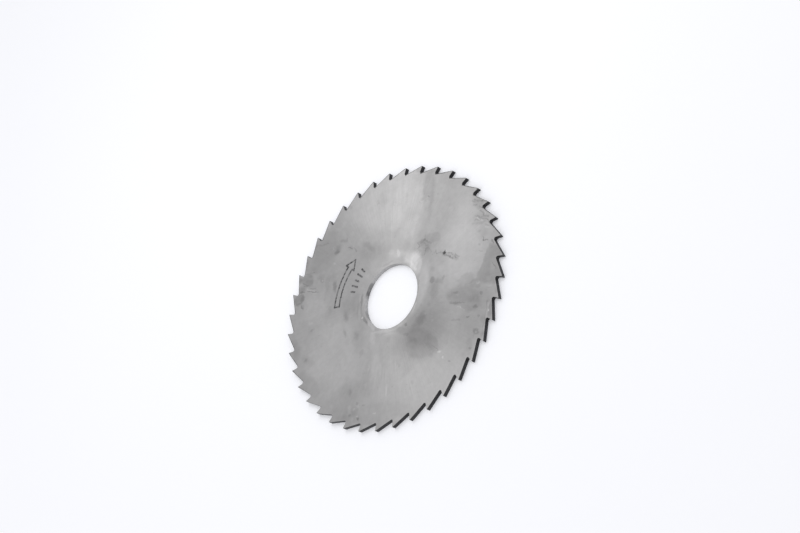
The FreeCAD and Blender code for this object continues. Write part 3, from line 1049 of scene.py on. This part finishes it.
def etched_marks(bench, flat_place):
    """1 on the etched turning arrow and graduation strokes, and 0 beside them."""
    place = astray(bench, flat_place, ETCHED_EDGES, ETCHED_DRIFT)
    middle = math.radians((ARROW_TAIL + ARROW_NECK) / 2)
    half_angle = math.radians((ARROW_NECK - ARROW_TAIL) / 2)
    masks = [
        bench.effect("Arc", Place=place, Radius=ARROW_RADIUS + offset, Middle=middle,
                     Half_angle=half_angle, Width=ETCHED_WIDTH)["Mask"]
        for offset in (-ARROW_HALF_WIDTH, ARROW_HALF_WIDTH)]
    corners = [
        (ARROW_TAIL, -ARROW_HALF_WIDTH, ARROW_TAIL, ARROW_HALF_WIDTH),
        (ARROW_NECK, -ARROW_HALF_WIDTH, ARROW_NECK, -ARROW_HEAD_HALF_WIDTH),
        (ARROW_NECK, ARROW_HALF_WIDTH, ARROW_NECK, ARROW_HEAD_HALF_WIDTH),
        (ARROW_NECK, -ARROW_HEAD_HALF_WIDTH, ARROW_TIP, 0),
        (ARROW_NECK, ARROW_HEAD_HALF_WIDTH, ARROW_TIP, 0),
    ]
    lines = [(clock_point(first, ARROW_RADIUS + inner), clock_point(second, ARROW_RADIUS + outer))
             for first, inner, second, outer in corners]
    for bearing, half in zip(GRADUATION_BEARINGS, GRADUATION_HALF_LENGTHS):
        ends = (GRADUATION_RADIUS - half, GRADUATION_RADIUS + half)
        lines.append([clock_point(bearing, radius) for radius in ends])
    masks += [bench.effect("Stroke", Place=place, From=begin, To=end, Width=ETCHED_WIDTH)["Mask"]
              for begin, end in lines]
    marked = masks[0]
    for mask in masks[1:]:
        marked = bench.math("MAXIMUM", marked, mask)
    return marked


def ground_steel(name, finish, spots, strokes, sheen, etched):
    """A ground side, with its grain, stains and scratches, its painted sheen, and the painted
    highlights and painted shade in its list of stains.
    """
    material, bench, shader = new_material(name)
    place = bench.effect("Blade place")
    flat_place = place["Flat place"]
    streaks = {"Direction": place["Direction"], "Radius": place["Radius"]}
    fine = bench.effect("Grinding grain", **streaks, **FINE_GRAIN)["Streaks"]
    broad = bench.effect("Grinding grain", **streaks, **BROAD_GRAIN)["Streaks"]
    clouds, grime, specks = (bench.noise(place["Place"], *noise) for noise in (CLOUDS, GRIME, SPECKS))

    tone = bench.ramp(broad, *GRAIN_TONES)
    for value, tones in (
            (fine, GRAIN_TONES), (clouds, CLOUD_TONES), (grime, GRIME_TONES), (specks, SPECK_TONES)):
        tone = bench.times(tone, bench.ramp(value, *tones))

    # The grinding lines get a painted sheen where they catch the light.
    lines = bench.math("ADD", bench.ramp(broad, *BROAD_SHEEN), bench.ramp(fine, *FINE_SHEEN))
    for oval in sheen:
        tone = toned(bench, tone, bench.times(oval_mask(bench, flat_place, oval), lines), 1.0)

    # The hub land is rubbed a little brighter by the collars.
    hub_radius = bench.math("MULTIPLY_ADD", clouds, HUB_DRIFT, place["Radius"])
    tone = bench.times(tone, bench.ramp(hub_radius, *HUB_TONES))

    ragged_place = astray(bench, flat_place, RAGGED_EDGES, SPOT_DRIFT)
    tone = with_spots(bench, tone, ragged_place, spots, finish.spot_strength)
    tone = scratched(bench, tone, ragged_place, strokes)

    # A thin dark line of scale runs along the tooth backs on one side of the blade. On the other side
    # the edge gets a painted highlight instead.
    depth = bench.effect("Tooth back", Place=flat_place, Bearing=place["Bearing"])["Depth"]
    depth = bench.math("MULTIPLY_ADD", grime, EDGE_LINE_DRIFT, depth)
    facing = bench.vector("DOT_PRODUCT", place["Direction"], SCALE_SIDE)
    scale = bench.times(bench.ramp(depth, *EDGE_LINE_DEPTHS), bench.ramp(facing, *SCALE_AND_HIGHLIGHT_SHARES))
    tone = toned(bench, tone, scale, 1.0)

    colour = bench.blend(1.0, tuple(finish.steel), tone, "MULTIPLY")
    if etched:
        left = bench.ramp(bench.noise(flat_place, *ETCHED_WEAR), *ETCHED_LEFT)
        shown = bench.times(etched_marks(bench, flat_place), left)
        colour = bench.blend(shown, colour, tuple(finish.mark))
    roughness = bench.math("MULTIPLY_ADD", tone, -SMOOTHING, finish.steel_roughness + SMOOTHING)
    relief = bench.math("MULTIPLY_ADD", fine, FINE_RELIEF, broad)
    bump = bench.node("Bump", {"Strength": 1.0, "Distance": RELIEF_DEPTH, "Height": relief})
    tangent = bench.node("Tangent", direction_type="RADIAL", axis="Z")
    bench.fill(shader, {
        "Base Color": colour, "Metallic": 1.0, "Roughness": roughness,
        "Anisotropic": finish.grain_pull, "Tangent": tangent.outputs["Tangent"],
        "Normal": bump.outputs["Normal"]})
    return material


def blackened_steel(finish):
    """The black scale on the edge of the blade, rubbed thin in places."""
    material, bench, shader = new_material("blackened_steel")
    mottle = bench.noise(bench.effect("Blade place")["Place"], *SCALE_MOTTLE)
    lost = bench.ramp(mottle, *SCALE_LOST)
    bench.fill(shader, {
        "Base Color": bench.blend(lost, tuple(finish.black), tuple(finish.worn_black)),
        "Metallic": 0.5, "Roughness": bench.ramp(mottle, *SCALE_ROUGHNESS)})
    return material


def bored_steel(finish):
    """The wall and the chamfers of the bore, with painted shade and old dirt."""
    material, bench, shader = new_material("bored_steel")
    place = bench.effect("Blade place")
    mottle = bench.noise(place["Place"], *BORE_MOTTLE)
    tone = bench.ramp(mottle, *BORE_TONES)
    tone = with_spots(bench, tone, place["Flat place"], BORE_DIRT_AND_PAINTED_SHADE, finish.spot_strength)
    bench.fill(shader, {
        "Base Color": bench.blend(1.0, tuple(finish.bore), tone, "MULTIPLY"),
        "Metallic": 1.0, "Roughness": bench.ramp(mottle, *BORE_ROUGHNESS)})
    return material


class SAW_OT_blade(bpy.types.Operator):
    """Make the blade, with its teeth, hub, bore and finishes"""

    bl_idname = "saw.blade"
    bl_label = "Blade"

    def execute(self, context):
        saw = context.scene.slitting_saw
        for make in (make_blade_place, make_grinding_grain, make_oval, make_stroke, make_arc):
            make()
        make_tooth_back(saw.sizes)
        blade = bpy.data.objects.new("slitting_saw", blade_mesh(saw.sizes))
        context.scene.collection.objects.link(blade)
        upper = (UPPER_STAINS_AND_PAINTED_LIGHT, UPPER_STROKES, UPPER_SHEEN)
        lower = (LOWER_STAINS, LOWER_STROKES, LOWER_SHEEN)
        for material in (
                ground_steel("upper_side", saw.finish, *upper, etched=True),
                ground_steel("lower_side", saw.finish, *lower, etched=False),
                blackened_steel(saw.finish),
                bored_steel(saw.finish)):
            blade.data.materials.append(material)
        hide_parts("saw_blade")
        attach(blade, "root")
        return {"FINISHED"}


def camera_sees(bench):
    """1 for what the camera sees, straight or by a reflection, and 0 for light on the blade."""
    rays = bench.node("LightPath").outputs
    seen = bench.math("MAXIMUM", rays["Is Camera Ray"], rays["Is Glossy Ray"])
    return bench.math("MAXIMUM", seen, rays["Is Transmission Ray"])


def studio_light(stage):
    """A pale surround: white to the camera and in reflections, softer as light."""
    world = bpy.data.worlds.new("studio")
    bpy.context.scene.world = world
    world.use_nodes = True
    bench = Bench(world.node_tree)
    strength = bench.math("MULTIPLY_ADD", camera_sees(bench), 1 - stage.fill, stage.fill)
    bench.fill(world.node_tree.nodes["Background"], {"Color": SURROUND_COLOUR, "Strength": strength})


def soft_lamp(stage):
    """One area lamp, aimed at the blade's centre and not seen itself."""
    lamp = bpy.data.lights.new("key", "AREA")
    lamp.shape = "RECTANGLE"
    lamp.size = LAMP_WIDTH
    lamp.size_y = LAMP_LENGTH
    lamp.energy = stage.lamp_power
    holder = bpy.data.objects.new("key", lamp)
    flat = math.cos(LAMP_HEIGHT) * LAMP_DISTANCE
    height = math.sin(LAMP_HEIGHT) * LAMP_DISTANCE
    holder.location = (math.sin(LAMP_BEARING) * flat, math.cos(LAMP_BEARING) * flat, height)
    holder.rotation_mode = "QUATERNION"
    holder.rotation_quaternion = holder.location.to_track_quat("Z", "Y")
    holder.visible_camera = False
    bpy.context.scene.collection.objects.link(holder)


def pale_floor(stage):
    """The floor that the blade lies on."""
    mesh = bpy.data.meshes.new("floor")
    corners = [(x * FLOOR_REACH, y * FLOOR_REACH, cad_low.z)
               for x, y in ((-1, -1), (1, -1), (1, 1), (-1, 1))]
    mesh.from_pydata(corners, [], [(0, 1, 2, 3)])
    floor = bpy.data.objects.new("floor", mesh)
    bpy.context.scene.collection.objects.link(floor)
    material, bench, shader = new_material("pale_floor")
    bench.fill(shader, {
        "Base Color": tuple(stage.floor), "Roughness": 0.9, "Specular IOR Level": 0.1,
        "Emission Color": GLOW_COLOUR,
        "Emission Strength": bench.times(camera_sees(bench), GLOW_STRENGTH)})
    mesh.materials.append(material)


def add_camera(stage):
    """Looks down on the blade from the side, rolled about its line of sight."""
    camera = bpy.data.objects.new("camera", bpy.data.cameras.new("camera"))
    bpy.context.scene.collection.objects.link(camera)
    flat = math.cos(stage.elevation)
    back = Vector((
        math.sin(stage.azimuth) * flat, -math.cos(stage.azimuth) * flat, math.sin(stage.elevation)))
    aim = Vector((stage.aim[0], stage.aim[1], cad_high.z))
    turn = (-back).to_track_quat("-Z", "Y").to_matrix() @ Matrix.Rotation(stage.roll, 3, "Z")
    place = aim + back * stage.distance
    camera.matrix_world = Matrix.LocRotScale(place, turn.to_quaternion(), None)
    camera.data.lens = stage.lens
    camera.data.clip_start = 0.05
    bpy.context.scene.camera = camera


class SAW_OT_stage(bpy.types.Operator):
    """Make the pale floor, the soft lamp and the camera"""

    bl_idname = "saw.stage"
    bl_label = "Stage"

    def execute(self, context):
        stage = context.scene.slitting_saw.stage
        context.scene.view_settings.view_transform = "Standard"
        studio_light(stage)
        pale_floor(stage)
        soft_lamp(stage)
        add_camera(stage)
        return {"FINISHED"}


class SAW_PT_panel(bpy.types.Panel):
    """Sizes, finish and stage of the blade"""

    bl_idname = "SAW_PT_panel"
    bl_label = "Slitting saw"
    bl_space_type = "VIEW_3D"
    bl_region_type = "UI"
    bl_category = "Saw blade"

    def draw(self, context):
        saw = context.scene.slitting_saw
        for title, group, operator in (
                ("Sizes", saw.sizes, None),
                ("Finish", saw.finish, SAW_OT_blade),
                ("Stage", saw.stage, SAW_OT_stage)):
            box = self.layout.box()
            box.label(text=title)
            for name in group.__annotations__:
                box.prop(group, name)
            if operator:
                box.operator(operator.bl_idname)


CLASSES = (SawSizes, SawFinish, SawStage, SlittingSaw, SAW_OT_blade, SAW_OT_stage, SAW_PT_panel)


def register():
    for each in CLASSES:
        bpy.utils.register_class(each)
    bpy.types.Scene.slitting_saw = PointerProperty(type=SlittingSaw)


def unregister():
    del bpy.types.Scene.slitting_saw
    for each in reversed(CLASSES):
        bpy.utils.unregister_class(each)


def main():
    register()
    bpy.ops.saw.blade()
    bpy.ops.saw.stage()


if __name__ == "__main__":
    main()
